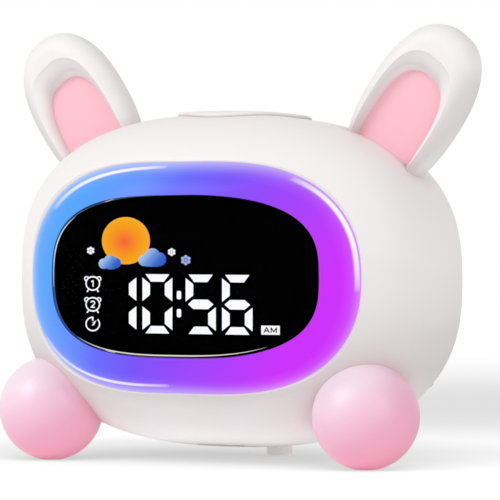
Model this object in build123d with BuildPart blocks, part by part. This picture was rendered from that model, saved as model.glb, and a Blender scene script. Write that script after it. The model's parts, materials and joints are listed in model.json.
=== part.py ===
from build123d import *
import os
from math import copysign, cos, pi, radians, sin, sqrt

# A bedside clock with a night light: an oval head on two ball feet, with two ears.
# Millimetres. The origin is on the table, midway between the lens and the back.
# The clock faces -Y, and +Z is up.

os.makedirs("parts", exist_ok=True)

# ---------------------------------------------------------------- body
body_half_width = 69.3
body_half_height = 50.8
body_roundness = 2.53  # power of the superellipse seen from the front
body_lift = 4.4  # gap between the table and the underside
widest_y = -5.7
back_y = 44.75
back_reach = 53.5  # where the back would close to a point, behind the widest section
back_roundness = 2.7
front_width_roundness = 2.55
front_height_roundness = 2.33
front_roundness = 2.62  # power of the superellipse where the body meets the ring
wall = 2.4
seam_y = 11.3
lip_length = 2.0
lip_gap = 0.1
lip_step = 0.25
oval_points = 24

# ---------------------------------------------------------------- light ring
ring_y = -30.1  # where the ring's sides meet the shell
ring_middle_y = -35.4  # where its top and bottom meet the shell, further forward
ring_half_width = 56.5
ring_half_height = 34.8
ring_roundness = 2.39
ring_rise = 1.4  # height of the ring's middle above the body's
ring_bulge = 1.5  # power of the ring's rounded front
ring_wall = 2.2
ledge_width = 3.0
ledge_thickness = 4.0
skirt_wall = 1.6
fit_gap = 0.15
seat_gap = 0.05

# ---------------------------------------------------------------- window and display
window_half_width = 45.75
window_half_height = 24.44
window_roundness = 2.86
window_rise = 1.8
dome_radius = 124.0
dome_front_y = -45.3
lens_thickness = 1.6
lens_gap = 0.1
display_y = -36.0
mask_thickness = 2.0
mask_wall = 1.5
digit_width = 10.3
digit_height = 17.8
digit_pitch = 12.4
digit_drop = 6.5  # the digits' middle below the body's
digit_row_x = -1.6  # the colon's place
upright_stroke = 2.6
level_stroke = 2.25
middle_stroke = 2.85
bar_corner = 1.05  # from a digit's corner to the tip of a bar
bar_middle = 0.8  # from a digit's middle to the tip of a bar
bar_slant = 1.85
colon_half_gap = 7.42
colon_half_rise = 2.7
colon_width = 1.5
colon_height = 2.5
colon_corner = 0.5
housing_wall = 1.15

# ---------------------------------------------------------------- boards
board_thickness = 1.6
front_board_y = -19.5
front_board_margin = 0.5
reflector_wall = 1.4
led_size = 2.8
led_height = 0.9
led_count = 18
led_window = 3.6
boss_radius = 2.4
front_screw_inset = 0.75  # share of the ring's half sizes, at its rounded corners
front_screw_radius = 1.1
front_screw_depth = 2.2

main_board_back_y = 35.35
main_board_width = 76.0
main_board_height = 52.0
post_radius = 3.0
post_spread_x = 32.0
post_spread_z = 20.0
board_screw_radius = 1.1

# ---------------------------------------------------------------- ears
ear_x = 57.2
ear_y = 3.3
ear_z = 107.5
ear_splay = 34.5
ear_lean = 2.1
ear_half_width = 16.4
ear_half_length = 27.6
ear_roundness = 2.32
ear_half_thickness = 6.9
ear_edge_radius = 6.2
ear_taper = 0.06
scoop_side = 3.3  # how far the scoop's rolled rim spreads beyond the pad
scoop_end = 8.0
pad_half_width = 10.0
pad_half_length = 19.2
pad_roundness = 2.75
pad_drop = 7.8
pad_face = 2.6
pad_thickness = 1.2
ear_skin = 14.0  # from the ear's middle down its axis to the body's surface
peg_radius = 2.6
peg_length = 6.0  # how far the peg reaches past the body's surface
peg_back = 2.7  # how far the peg lies behind the ear's middle plane
peg_gap = 0.1
boss_wall = 2.0
boss_floor = 3.5
small_screw_radius = 1.0
small_head_radius = 2.0
small_head_height = 1.5
small_screw_depth = 5.0

# ---------------------------------------------------------------- feet
foot_radius = 16.05
foot_flat = 0.3
foot_x = 54.2
foot_y = -22.4
foot_peg_in_x = 5.0
foot_peg_in_y = 6.0
foot_boss_top = 28.0
rear_foot_radius = 4.0
rear_foot_edge = 0.5
rear_foot_y = 26.0
rear_foot_plug_radius = 2.5

# ---------------------------------------------------------------- snooze button
snooze_radius = 20.7
snooze_y = 3.0
snooze_rise = 1.1
snooze_skin = 2.2
snooze_wall = 1.8
snooze_gap = 0.4
snooze_skirt_z = 96.0
snooze_flange = 1.7
snooze_flange_thickness = 1.6
snooze_travel = 1.2
bracket_z = 88.0
bracket_thickness = 2.0
bracket_half_length = 30.0
bracket_half_width = 10.0
bracket_boss_x = 26.0
bracket_boss_y = -3.0
spring_radius = 8.0
spring_wire = 0.45
spring_seat_z = 103.0
spring_turns = 3.5

# ---------------------------------------------------------------- switches
switch_size = 6.0
switch_corner = 0.6
switch_body = 3.5
switch_stem = 0.5
switch_stem_radius = 1.7
snooze_stem = 3.9
stem_gap = 0.4

# ---------------------------------------------------------------- rear controls
panel_half_width = 30.0
panel_half_height = 20.0
panel_depth = 1.0
button_radius = 4.0
button_gap = 0.25
button_flange = 1.2
button_flange_thickness = 1.1
button_pitch_x = 15.0
button_pitch_z = 13.0
button_row_rise = 8.0
button_proud = 0.9
button_travel = 0.6
usb_drop = 14.5
usb_width = 9.0
usb_height = 3.2
usb_wall = 0.35
usb_corner = 1.5
usb_tongue_width = 6.3
usb_tongue_height = 0.7
usb_mouth = 5.9

# ---------------------------------------------------------------- speaker and battery
speaker_y = -5.0
speaker_radius = 14.0
speaker_seat_z = 14.0
speaker_seat_wall = 1.6
speaker_screw_x = 18.0
speaker_flange = 1.4
slot_width = 2.2
slot_pitch = 3.8
slot_count = 5
basket_height = 4.5
basket_wall = 0.8
magnet_radius = 8.0
magnet_height = 4.0
cone_thickness = 0.4
battery_width = 50.0
battery_height = 34.0
battery_thickness = 8.0
battery_edge = 2.4
tape_width = 40.0
tape_height = 27.0
tape_thickness = 1.0

# ---------------------------------------------------------------- case screws
case_screw_x = 54.0
case_screw_z = 30.0
case_boss_radius = 3.6
case_screw_radius = 1.45
case_screw_head = 2.8
case_head_height = 2.0
case_head_y = 18.0
case_screw_length = 20.0
screw_gap = 0.05

# ---------------------------------------------------------------- worked out
body_z = body_lift + body_half_height
back_inner_y = back_y - wall
ledge_back_y = ring_y + ledge_thickness
seat_depth = ring_y - ring_middle_y
seat_radius = (ring_half_width**2 + seat_depth**2) / (2 * seat_depth)
body_front_y = ring_middle_y - wall / 4
opening_half_width = ring_half_width - ledge_width
opening_half_height = ring_half_height - ledge_width
dome_center_y = dome_front_y + dome_radius
window_top_y = dome_center_y - sqrt(dome_radius**2 - window_half_height**2)
window_side_y = dome_center_y - sqrt(dome_radius**2 - window_half_width**2)
cup_half_width = window_half_width - fit_gap
cup_half_height = window_half_height - fit_gap
board_half_width = ring_half_width + front_board_margin
board_half_height = ring_half_height + front_board_margin


def closing(share, roundness):
    """How much of the full size is left, a share of the way to where it closes."""
    return (1 - share**roundness) ** (1 / roundness)


def reach_for(size_share, distance, roundness):
    """The reach that leaves size_share of the full size after the given distance."""
    return distance / closing(size_share, roundness)


front_reach_across = reach_for(ring_half_width / body_half_width, widest_y - ring_y, front_width_roundness)
front_reach_up = reach_for(ring_half_height / body_half_height, widest_y - ring_middle_y,
                           front_height_roundness)
ring_reach_across = reach_for(window_half_width / ring_half_width, ring_y - window_side_y, ring_bulge)
# The ring's front passes through its own outline at seat_depth and through the window's outline
ring_fall = ((ring_half_height**ring_bulge - window_half_height**ring_bulge)
             / ((ring_y - window_top_y)**ring_bulge - seat_depth**ring_bulge))
ring_base_half_height = (ring_half_height**ring_bulge + ring_fall * seat_depth**ring_bulge)**(1 / ring_bulge)
ring_reach_up = ring_base_half_height / ring_fall**(1 / ring_bulge)


def superellipse(half_width, half_height, roundness, rise=0.0, taper=0.0, count=oval_points):
    """Points of an oval from its top, whose shoulders are fuller as its roundness grows."""
    points = []
    for step in range(count):
        angle = pi / 2 + 2 * pi * step / count
        across = copysign(abs(cos(angle)) ** (2 / roundness), cos(angle))
        up = copysign(abs(sin(angle)) ** (2 / roundness), sin(angle))
        narrowing = 1 - taper * (1 - up) / 2
        points.append((half_width * across * narrowing, rise + half_height * up))
    return points


def oval_on(plane, half_width, half_height, roundness, rise=0.0, taper=0.0):
    """Face of a superellipse on a plane."""
    with BuildSketch(plane) as face:
        with BuildLine():
            Spline(*superellipse(half_width, half_height, roundness, rise, taper), periodic=True)
        make_face()
    return face.sketch


def across(y):
    """Upright plane across the clock at depth y, seen from the front."""
    return Plane(origin=(0, y, body_z), x_dir=(1, 0, 0), z_dir=(0, -1, 0))


def body_oval(y, inset):
    """The body's section at depth y, its surface moved inwards by inset."""
    depth = abs(y - widest_y)
    half_width = body_half_width - inset
    half_height = body_half_height - inset
    if y < widest_y:
        front = min(depth / (widest_y - ring_y), 1)
        half_width *= closing(depth / (front_reach_across - inset), front_width_roundness)
        half_height *= closing(depth / (front_reach_up - inset), front_height_roundness)
        roundness = body_roundness + (front_roundness - body_roundness) * front
        return oval_on(across(y), half_width, half_height, roundness, ring_rise * front)
    shrunk = closing(depth / (back_reach - inset), back_roundness)
    return oval_on(across(y), half_width * shrunk, half_height * shrunk, body_roundness)


def body_solid(front_y, rear_y, inset=0.0):
    """The body between two depths, its surface moved inwards by inset."""
    front_steps = 5
    rear_steps = 4
    depths = [front_y + (widest_y - front_y) * step / front_steps for step in range(front_steps)]
    closed_share = (rear_y - widest_y) / (back_reach - inset)
    for step in range(rear_steps + 1):
        turn = step / rear_steps
        depths.append(widest_y + (rear_y - widest_y) * sin(pi / 2 * closed_share * turn)
                      / sin(pi / 2 * closed_share))
    with BuildPart() as solid:
        loft([body_oval(depth, inset) for depth in depths])
    return solid.part


def ring_solid(inset=0.0):
    """The light ring's rounded front as a full form, its surface moved inwards by inset."""
    base_y = ring_y + inset
    end_y = window_top_y - 0.8 + inset
    steps = 5
    sections = []
    for step in range(steps + 1):
        y = base_y + (end_y - base_y) * step / steps
        depth = base_y - y
        half_width = (ring_half_width - inset) * closing(depth / ring_reach_across, ring_bulge)
        half_height = (ring_base_half_height - inset) * closing(depth / ring_reach_up, ring_bulge)
        forward = min(depth / (ring_y - window_side_y), 1)
        roundness = ring_roundness + (window_roundness - ring_roundness) * forward
        sections.append(oval_on(across(y), half_width, half_height, roundness, ring_rise))
    with BuildPart() as solid:
        loft(sections)
    return solid.part


def window_prism(front_y, rear_y, inset):
    """A straight oval block the size of the window, between two depths."""
    face = oval_on(across(rear_y), window_half_width - inset, window_half_height - inset,
                   window_roundness, window_rise)
    with BuildPart() as prism:
        extrude(face, amount=rear_y - front_y)
    return prism.part


def dome(radius):
    """The ball whose front is the window's gentle curve."""
    with BuildPart() as ball:
        with Locations((0, dome_center_y, body_z + window_rise)):
            Sphere(radius)
    return ball.part


def rod(plane, radius, length):
    """A plain round rod, for posts, shafts and holes."""
    with BuildPart() as solid:
        with BuildSketch(plane):
            Circle(radius)
        extrude(amount=length)
    return solid.part


def screw(plane, shaft_radius, shaft_length, head_radius, head_height):
    """A pan head screw: the head lies on the plane, and the shaft runs along its normal."""
    with BuildPart() as solid:
        with BuildSketch(plane):
            Circle(head_radius)
        extrude(amount=-head_height)
        fillet(solid.faces().sort_by(Axis(plane.origin, plane.z_dir))[0].edges(), head_height * 0.4)
        with BuildSketch(plane):
            Circle(shaft_radius)
        extrude(amount=shaft_length)
    return solid.part


def other_side(shape):
    """The same shape on the left of the clock."""
    return mirror(shape, about=Plane.YZ, mode=Mode.PRIVATE)


def save(piece, name):
    """Labels a finished piece and writes it."""
    piece.part.label = name
    export_step(piece.part, f"parts/{name}.step")


def to_back(x, y, z):
    """Plane at a point, looking to the back of the clock."""
    return Plane(origin=(x, y, z), x_dir=(1, 0, 0), z_dir=(0, 1, 0))


def to_front(x, y, z):
    """Plane at a point, looking to the front of the clock."""
    return Plane(origin=(x, y, z), x_dir=(1, 0, 0), z_dir=(0, -1, 0))


def upwards(x, y, z):
    """Level plane at a point, looking up."""
    return Plane(origin=(x, y, z), x_dir=(1, 0, 0), z_dir=(0, 0, 1))


def downwards(x, y, z):
    """Level plane at a point, looking down."""
    return Plane(origin=(x, y, z), x_dir=(1, 0, 0), z_dir=(0, 0, -1))


def corners(half_x, half_z):
    """The four places at the corners of a rectangle round the body's axis."""
    return [(side * half_x, body_z + level * half_z) for side in (-1, 1) for level in (-1, 1)]


def seat(gap=0.0):
    """A wide upright cylinder, whose front is the curved seat of the light ring."""
    return rod(upwards(0, ring_middle_y + seat_radius, 0), seat_radius + gap, 2 * body_z)


with BuildPart() as body:
    add(body_solid(body_front_y, back_y))
    add(seat(), mode=Mode.INTERSECT)
cavity = body_solid(ledge_back_y, back_inner_y, wall)
seam = Plane.XZ.offset(-seam_y)
front_screws = [(x, z + ring_rise) for x, z in corners(ring_half_width * front_screw_inset,
                                                      ring_half_height * front_screw_inset)]
case_screws_at = corners(case_screw_x, case_screw_z)
posts_at = corners(post_spread_x, post_spread_z)

# An ear's own plane faces forwards, with its Y along the ear.
splay = radians(ear_splay)
lean = radians(ear_lean)
ear_axis = Vector(sin(splay) * cos(lean), sin(lean), cos(splay) * cos(lean))
ear_side = Vector(cos(splay), 0, -sin(splay))
ear_front = ear_side.cross(ear_axis)
ear_plane = Plane(origin=(ear_x, ear_y, ear_z), x_dir=ear_side, z_dir=ear_front)


def down_ear(distance):
    """Plane across the ear's peg, looking down into the body."""
    return Plane(origin=ear_plane.origin - ear_axis * distance - ear_front * peg_back,
                 x_dir=ear_side, z_dir=ear_axis * -1)


def up_ear(distance):
    """Plane across the ear's peg, looking up out of the body."""
    return Plane(origin=down_ear(distance).origin, x_dir=ear_side, z_dir=ear_axis)


ear_boss_end = ear_skin + peg_length + peg_gap + boss_floor
foot_center = (foot_x, foot_y, foot_radius - foot_flat)
foot_peg_at = (foot_x - foot_peg_in_x, foot_y + foot_peg_in_y)
foot_peg_top = foot_boss_top - boss_floor - peg_gap
snooze_hole = rod(upwards(0, snooze_y, bracket_z), snooze_radius + snooze_gap, body_half_height)

# ---------------------------------------------------------------- front shell
bracket_boss_at = (bracket_boss_x, bracket_boss_y, bracket_z + bracket_thickness)
speaker_boss_at = (speaker_screw_x, speaker_y, speaker_seat_z)
case_post_length = seam_y - ledge_back_y
rear_post_radius = case_screw_head + boss_wall

with BuildPart() as right_posts:
    # Posts for the ear, foot, snooze bracket and speaker
    add(rod(up_ear(ear_boss_end), peg_radius + boss_wall, ear_boss_end))
    add(rod(downwards(*foot_peg_at, foot_boss_top), peg_radius + boss_wall, foot_boss_top))
    add(rod(upwards(*bracket_boss_at), peg_radius + boss_wall / 2, body_half_height))
    add(rod(downwards(*speaker_boss_at), small_screw_radius + boss_wall, speaker_seat_z))

with BuildPart() as front_posts:
    add(right_posts)
    add(other_side(right_posts.part))
    for x, z in case_screws_at:
        add(rod(to_front(x, seam_y, z), case_boss_radius, case_post_length))
    add(rod(downwards(0, speaker_y, speaker_seat_z), speaker_radius + speaker_seat_wall, speaker_seat_z))
    add(rod(downwards(0, speaker_y, speaker_seat_z), speaker_radius - speaker_flange, speaker_seat_z),
        mode=Mode.SUBTRACT)
    add(body, mode=Mode.INTERSECT)

with BuildPart() as right_holes:
    # A wide hole for each peg and a narrow one for its screw
    add(rod(up_ear(ear_boss_end), small_screw_radius + peg_gap, ear_boss_end))
    add(rod(up_ear(ear_boss_end - boss_floor), peg_radius + peg_gap, ear_boss_end))
    add(rod(downwards(*foot_peg_at, foot_boss_top), small_screw_radius + peg_gap, foot_boss_top))
    add(rod(downwards(*foot_peg_at, foot_boss_top - boss_floor), peg_radius + peg_gap, foot_boss_top))
    add(rod(upwards(*bracket_boss_at), small_screw_radius + screw_gap, small_screw_depth + 1))
    add(rod(downwards(*speaker_boss_at), small_screw_radius + screw_gap, small_screw_depth))

with BuildPart() as front_holes:
    add(right_holes)
    add(other_side(right_holes.part))
    for x, z in case_screws_at:
        add(rod(to_front(x, seam_y, z), case_screw_radius + screw_gap, case_screw_length))
    for x, z in front_screws:
        add(rod(to_front(x, ledge_back_y, z), front_screw_radius + screw_gap, front_screw_depth + peg_gap))
    # Sound slots under the speaker
    with BuildSketch(Plane.XY):
        for slot in range(slot_count):
            offset_y = (slot - (slot_count - 1) / 2) * slot_pitch
            reach = sqrt((speaker_radius - 2 * speaker_flange) ** 2 - offset_y**2)
            with Locations((0, speaker_y + offset_y)):
                SlotOverall(2 * reach, slot_width)
    extrude(amount=speaker_seat_z)
    add(snooze_hole)

with BuildPart() as tongue:
    # The rear cover slides over this rim, which is notched round the cover's screw posts
    extrude(body_oval(seam_y, wall / 2 + lip_gap), amount=-lip_length)
    extrude(body_oval(seam_y, wall - lip_step), amount=-lip_length, mode=Mode.SUBTRACT)
    for x, z in case_screws_at:
        add(rod(to_back(x, seam_y, z), rear_post_radius + lip_gap, lip_length), mode=Mode.SUBTRACT)

with BuildPart() as front_shell:
    add(body)
    add(cavity, mode=Mode.SUBTRACT)
    split(bisect_by=seam, keep=Keep.TOP)
    add(tongue)
    # The light ring's opening
    extrude(oval_on(across(ledge_back_y), opening_half_width, opening_half_height, ring_roundness,
                    ring_rise), amount=ledge_back_y - body_front_y, mode=Mode.SUBTRACT)
    add(front_posts)
    add(front_holes, mode=Mode.SUBTRACT)
save(front_shell, "front_shell")

# ---------------------------------------------------------------- rear cover
button_names = (("mode", "alarm", "timer"), ("down", "light", "up"))
button_places = {
    name: ((column - 1) * button_pitch_x, body_z + button_row_rise - row * button_pitch_z)
    for row, names in enumerate(button_names) for column, name in enumerate(names)
}

with BuildPart() as rear_posts:
    for x, z in case_screws_at:
        add(rod(to_back(x, seam_y, z), rear_post_radius, back_y))
    for x, z in posts_at:
        add(rod(to_back(x, main_board_back_y, z), post_radius, back_y))
    add(body, mode=Mode.INTERSECT)

with BuildPart() as rear_holes:
    for x, z in case_screws_at:
        add(rod(to_back(x, seam_y, z), case_screw_radius + peg_gap, back_y))
        add(rod(to_back(x, case_head_y, z), case_screw_head + peg_gap, back_y))
    for x, z in posts_at:
        add(rod(to_back(x, main_board_back_y, z), board_screw_radius + screw_gap, small_screw_depth))
    for x, z in button_places.values():
        add(rod(to_back(x, main_board_back_y, z), button_radius + button_gap, back_y))
    with BuildSketch(across(back_y)):
        with Locations((0, -usb_drop)):
            RectangleRounded(usb_width + 2 * button_gap, usb_height + 2 * button_gap, usb_height / 2)
    extrude(amount=wall * 2)
    # The sunken control panel
    extrude(oval_on(across(back_y), panel_half_width, panel_half_height, body_roundness), amount=panel_depth)
    add(rod(upwards(0, rear_foot_y, body_lift), rear_foot_plug_radius + peg_gap, body_half_height))
    add(snooze_hole)

with BuildPart() as rear_cover:
    add(body)
    add(cavity, mode=Mode.SUBTRACT)
    split(bisect_by=seam, keep=Keep.BOTTOM)
    extrude(body_oval(seam_y, wall / 2), amount=-lip_length - lip_gap, mode=Mode.SUBTRACT)
    add(rear_posts)
    add(rear_holes, mode=Mode.SUBTRACT)
save(rear_cover, "rear_cover")

with BuildPart() as case_screws:
    for x, z in case_screws_at:
        add(screw(to_front(x, case_head_y, z), case_screw_radius, case_screw_length, case_screw_head,
                  case_head_height))
save(case_screws, "case_screws")

# ---------------------------------------------------------------- light ring
skirt_half_width = opening_half_width - fit_gap
skirt_half_height = opening_half_height - fit_gap
throat = oval_on(across(ledge_back_y), skirt_half_width - skirt_wall, skirt_half_height - skirt_wall,
                 ring_roundness, ring_rise)

with BuildPart() as light_chamber:
    extrude(throat, amount=ledge_back_y - window_top_y)
    add(ring_solid(ring_wall), mode=Mode.INTERSECT)

with BuildPart() as ring_skirt:
    extrude(oval_on(across(ledge_back_y), skirt_half_width, skirt_half_height, ring_roundness, ring_rise),
            amount=ledge_back_y - dome_front_y)
    extrude(throat, amount=ledge_back_y - dome_front_y, mode=Mode.SUBTRACT)
    add(seat(ring_wall / 2), mode=Mode.INTERSECT)

with BuildPart() as light_ring:
    add(ring_solid())
    add(seat(seat_gap), mode=Mode.SUBTRACT)
    add(window_prism(dome_front_y - dome_radius, ledge_back_y + wall, 0), mode=Mode.SUBTRACT)
    add(dome(dome_radius), mode=Mode.INTERSECT)
    add(light_chamber, mode=Mode.SUBTRACT)
    add(ring_skirt)
save(light_ring, "light_ring")

# The reflector's walls stand between the opening and the display's cup
inner_wall = oval_on(across(front_board_y), cup_half_width + fit_gap + reflector_wall,
                     cup_half_height + fit_gap + reflector_wall, window_roundness, window_rise)
led_half_width = (opening_half_width - skirt_wall + cup_half_width + fit_gap + reflector_wall) / 2
led_half_height = (opening_half_height - skirt_wall + cup_half_height + fit_gap + reflector_wall) / 2
led_places = superellipse(led_half_width, led_half_height, ring_roundness, ring_rise, count=led_count)
reflector_depth = front_board_y - ledge_back_y

with BuildPart() as trough:
    extrude(oval_on(across(front_board_y - reflector_wall), opening_half_width - skirt_wall,
                    opening_half_height - skirt_wall, ring_roundness, ring_rise), amount=reflector_depth)
    extrude(inner_wall, amount=2 * reflector_depth, mode=Mode.SUBTRACT)

with BuildPart() as ring_reflector:
    extrude(oval_on(across(front_board_y), opening_half_width, opening_half_height, ring_roundness,
                    ring_rise), amount=reflector_depth)
    # A flange against the shell's ledge
    extrude(oval_on(across(ledge_back_y + reflector_wall), board_half_width, board_half_height,
                    ring_roundness, ring_rise), amount=reflector_wall)
    for x, z in front_screws:
        add(rod(to_front(x, front_board_y, z), boss_radius, reflector_depth))
    add(trough, mode=Mode.SUBTRACT)
    # Room for the display's cup, a window for each LED and the screw holes
    add(window_prism(ledge_back_y - reflector_depth, front_board_y + wall, 0), mode=Mode.SUBTRACT)
    with BuildSketch(across(front_board_y)):
        with Locations(*led_places):
            Rectangle(led_window, led_window)
    extrude(amount=reflector_wall, mode=Mode.SUBTRACT)
    for x, z in front_screws:
        add(rod(to_front(x, front_board_y, z), front_screw_radius + peg_gap, reflector_depth),
            mode=Mode.SUBTRACT)
save(ring_reflector, "ring_reflector")

with BuildPart() as front_board:
    extrude(oval_on(across(front_board_y + board_thickness), board_half_width, board_half_height,
                    ring_roundness, ring_rise), amount=board_thickness)
    for x, z in front_screws:
        add(rod(to_back(x, front_board_y, z), boss_radius, board_thickness))
        add(rod(to_back(x, front_board_y, z), front_screw_radius + peg_gap, board_thickness),
            mode=Mode.SUBTRACT)
save(front_board, "front_board")

with BuildPart() as ring_leds:
    with BuildSketch(across(front_board_y)):
        with Locations(*led_places):
            Rectangle(led_size, led_size)
    extrude(amount=led_height)
save(ring_leds, "ring_leds")

with BuildPart() as front_board_screws:
    for x, z in front_screws:
        add(screw(to_front(x, front_board_y + board_thickness, z), front_screw_radius,
                  board_thickness + reflector_depth + front_screw_depth, small_head_radius,
                  small_head_height))
save(front_board_screws, "front_board_screws")

# ---------------------------------------------------------------- display
with BuildPart() as display_lens:
    add(window_prism(dome_front_y - wall, ring_y, fit_gap))
    add(dome(dome_radius), mode=Mode.INTERSECT)
    add(dome(dome_radius - lens_thickness), mode=Mode.SUBTRACT)
save(display_lens, "display_lens")

# The bars of a digit: on the right or left, above or below its middle
upright_bars = {"B": (1, 1), "C": (1, -1), "E": (-1, -1), "F": (-1, 1)}
level_bars = {"A": 1, "D": -1}
lit_bars = {"1": "BC", "0": "ABCDEF", "5": "AFGCD", "6": "AFGECD"}
digit_places = [(digit_row_x + place * digit_pitch + side * colon_half_gap, figure)
                for side, place, figure in ((-1, -1, "1"), (-1, 0, "0"), (1, 0, "5"), (1, 1, "6"))]


def upright_bar(side, level):
    """Corners of an upright bar, longest along the digit's outer edge."""
    outer = side * digit_width / 2
    inner = side * (digit_width / 2 - upright_stroke)
    tip = digit_height / 2 - bar_corner
    return [(outer, level * bar_middle), (outer, level * tip), (inner, level * (tip - bar_slant)),
            (inner, level * (bar_middle + bar_slant))]


def level_bar(level):
    """Corners of the top or bottom bar, longest along the digit's outer edge."""
    outer = level * digit_height / 2
    inner = level * (digit_height / 2 - level_stroke)
    tip = digit_width / 2 - bar_corner
    return [(-tip, outer), (tip, outer), (tip - bar_slant, inner), (bar_slant - tip, inner)]


def middle_bar():
    """Corners of the middle bar, pointed at both ends."""
    tip = digit_width / 2 - bar_middle
    shoulder = tip - bar_slant
    half = middle_stroke / 2
    return [(-tip, 0), (-shoulder, half), (shoulder, half), (tip, 0), (shoulder, -half), (-shoulder, -half)]


with BuildPart() as clock_digits:
    with BuildSketch(across(display_y + mask_thickness)):
        for digit_x, figure in digit_places:
            with Locations((digit_x, -digit_drop)):
                for name, (side, level) in upright_bars.items():
                    if name in lit_bars[figure]:
                        Polygon(*upright_bar(side, level), align=None)
                for name, level in level_bars.items():
                    if name in lit_bars[figure]:
                        Polygon(*level_bar(level), align=None)
                if "G" in lit_bars[figure]:
                    Polygon(*middle_bar(), align=None)
        with Locations(*[(digit_row_x, level * colon_half_rise - digit_drop) for level in (-1, 1)]):
            RectangleRounded(colon_width, colon_height, colon_corner)
    extrude(amount=mask_thickness)
save(clock_digits, "clock_digits")

with BuildPart() as cup_hollow:
    add(window_prism(display_y + mask_thickness, front_board_y, fit_gap + mask_wall))
    add(dome(dome_radius - lens_thickness - lens_gap - mask_thickness), mode=Mode.INTERSECT)

# A cup with a flat front, which the lens's curve cuts at both ends
with BuildPart() as display_mask:
    add(window_prism(display_y, front_board_y, fit_gap))
    add(dome(dome_radius - lens_thickness - lens_gap), mode=Mode.INTERSECT)
    add(cup_hollow, mode=Mode.SUBTRACT)
    add(clock_digits, mode=Mode.SUBTRACT)
save(display_mask, "display_mask")

# A block of light wells between the board and the digits
housing_front_y = display_y + mask_thickness + lens_gap

with BuildPart() as digit_housing:
    with BuildSketch(across(front_board_y)):
        with Locations((digit_row_x, -digit_drop)):
            Rectangle(2 * digit_pitch + 2 * colon_half_gap + digit_width + 2 * housing_wall,
                      digit_height + 2 * housing_wall)
            with Locations(*[(digit_x - digit_row_x, 0) for digit_x, figure in digit_places]):
                Rectangle(digit_width, digit_height, mode=Mode.SUBTRACT)
            Rectangle(colon_height, digit_height - 2 * housing_wall, mode=Mode.SUBTRACT)
    extrude(amount=front_board_y - housing_front_y)
save(digit_housing, "digit_housing")

# ---------------------------------------------------------------- ears
pad_back = pad_face - pad_thickness
scoop_depth = ear_half_thickness - pad_face


def pad_oval(height, spread=0.0):
    """The pad's outline at a height in the ear, widened by a share of the scoop's rim."""
    return oval_on(ear_plane.offset(height), pad_half_width + spread * scoop_side,
                   pad_half_length + spread * scoop_end, pad_roundness, -pad_drop)


# The scoop's wall rises steeply from the pad, rolls over into the rim and runs out past it
scoop_sections = [pad_oval(pad_face + scoop_depth * climb, 1 - sqrt(1 - climb**2))
                  for climb in (0, 0.45, 0.8, 0.97)]
scoop_sections.append(pad_oval(ear_half_thickness + pad_thickness, 1))

with BuildPart() as ear_form:
    extrude(oval_on(ear_plane, ear_half_width, ear_half_length, ear_roundness, taper=ear_taper),
            amount=ear_half_thickness, both=True)
    fillet(faces().filter_by(GeomType.PLANE).edges(), ear_edge_radius)
    loft(scoop_sections, mode=Mode.SUBTRACT)
    extrude(pad_oval(pad_back), amount=2 * pad_thickness, mode=Mode.SUBTRACT)
ear_peg = rod(down_ear(ear_skin - peg_length), peg_radius, 2 * peg_length)
ear_pilot = rod(up_ear(ear_skin + peg_length), small_screw_radius + screw_gap, small_screw_depth)

with BuildPart() as ear_right:
    add(ear_form)
    add(body, mode=Mode.SUBTRACT)
    add(ear_peg)
    add(ear_pilot, mode=Mode.SUBTRACT)
save(ear_right, "ear_right")

with BuildPart() as ear_left:
    add(other_side(ear_form.part))
    add(body, mode=Mode.SUBTRACT)
    add(other_side(ear_peg))
    add(other_side(ear_pilot), mode=Mode.SUBTRACT)
save(ear_left, "ear_left")

with BuildPart() as ear_pad:
    extrude(pad_oval(pad_back), amount=pad_thickness)

with BuildPart() as ear_pad_right:
    add(ear_pad)
    add(body, mode=Mode.SUBTRACT)
save(ear_pad_right, "ear_pad_right")

with BuildPart() as ear_pad_left:
    add(other_side(ear_pad.part))
    add(body, mode=Mode.SUBTRACT)
save(ear_pad_left, "ear_pad_left")

ear_screw = screw(up_ear(ear_boss_end), small_screw_radius, boss_floor + small_screw_depth,
                  small_head_radius, small_head_height)
with BuildPart() as ear_screws:
    add(ear_screw)
    mirror(ear_screw, about=Plane.YZ)
save(ear_screws, "ear_screws")

# ---------------------------------------------------------------- feet
with BuildPart() as ball:
    with Locations(foot_center):
        Sphere(foot_radius)
    split(bisect_by=Plane.XY, keep=Keep.TOP)
foot_peg = rod(upwards(*foot_peg_at, foot_radius), peg_radius, foot_peg_top - foot_radius)
foot_pilot = rod(downwards(*foot_peg_at, foot_peg_top), small_screw_radius + screw_gap, small_screw_depth)

with BuildPart() as foot_right:
    add(ball)
    add(body, mode=Mode.SUBTRACT)
    add(foot_peg)
    add(foot_pilot, mode=Mode.SUBTRACT)
save(foot_right, "foot_right")

with BuildPart() as foot_left:
    add(other_side(ball.part))
    add(body, mode=Mode.SUBTRACT)
    add(other_side(foot_peg))
    add(other_side(foot_pilot), mode=Mode.SUBTRACT)
save(foot_left, "foot_left")

foot_screw = screw(downwards(*foot_peg_at, foot_boss_top), small_screw_radius,
                   boss_floor + small_screw_depth, small_head_radius, small_head_height)
with BuildPart() as foot_screws:
    add(foot_screw)
    mirror(foot_screw, about=Plane.YZ)
save(foot_screws, "foot_screws")

rear_foot_top = body_z - body_half_height * closing((rear_foot_y - widest_y) / back_reach, back_roundness)
with BuildPart() as rear_foot:
    add(rod(upwards(0, rear_foot_y, 0), rear_foot_radius, body_half_height))
    chamfer(faces().sort_by(Axis.Z)[0].edges(), rear_foot_edge)
    add(body, mode=Mode.SUBTRACT)
    add(rod(upwards(0, rear_foot_y, body_lift), rear_foot_plug_radius, rear_foot_top - body_lift + wall))
save(rear_foot, "rear_foot")

# ---------------------------------------------------------------- snooze button
snooze_surface = body_solid(body_front_y, back_y, -snooze_rise)
snooze_axis = (0, snooze_y)
seat_outer = spring_radius + snooze_wall
seat_inner = spring_radius - snooze_wall

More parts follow.
